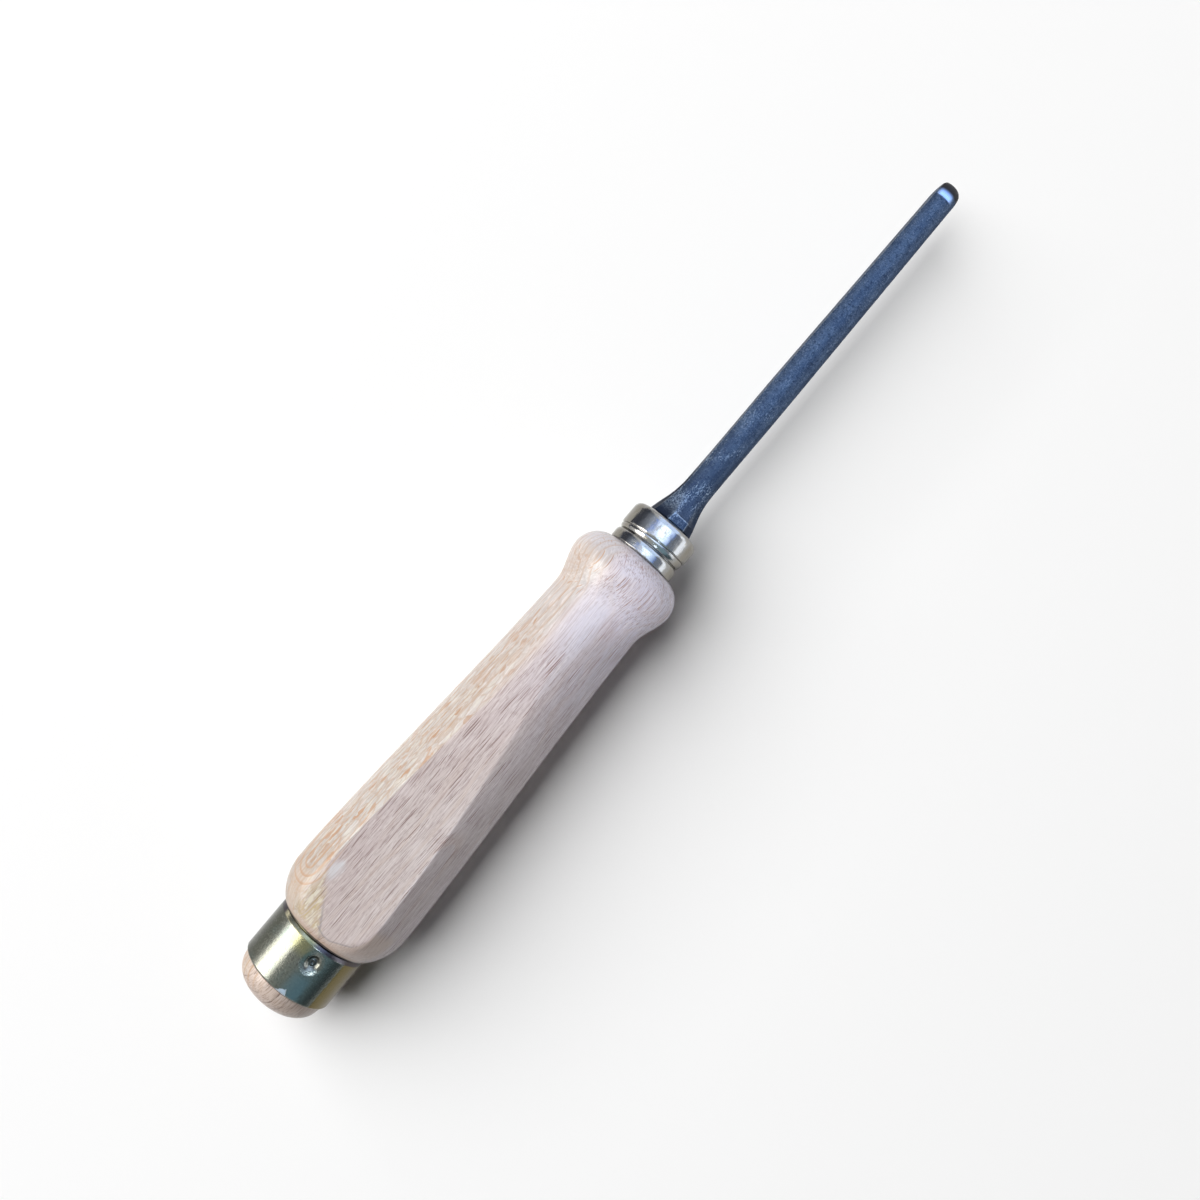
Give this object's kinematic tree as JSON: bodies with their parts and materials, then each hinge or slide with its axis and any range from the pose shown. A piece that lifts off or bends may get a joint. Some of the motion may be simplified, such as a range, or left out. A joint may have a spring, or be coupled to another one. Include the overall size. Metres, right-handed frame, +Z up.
{
  "type": "carving chisel",
  "caption": "Hand carving gouge: slim blued steel blade with a bolster, beech handle with milled flats, nickel front ferrule and a zinc striking hoop.",
  "frame": {"origin": "on the ground under the middle of the tool, which lies on its front bead and the rear end of its lower flat", "axes": "+X along the tool from the butt end to the cutting edge, +Z up out of the upper flat, +Y to the left of the blade"},
  "size_m": [0.2654, 0.034, 0.03],
  "materials": {
    "blued_steel": "blued forged steel, bevel ground bright",
    "beech": "sanded bare beech",
    "nickel": "bright nickel plate on sheet steel",
    "yellow_zinc": "zinc plate on sheet steel, yellow passivated"
  },
  "bodies": {
    "root": {"blade": "blued_steel", "handle": "beech", "front_ferrule": "nickel", "striking_hoop": "yellow_zinc"}
  },
  "joints": []
}
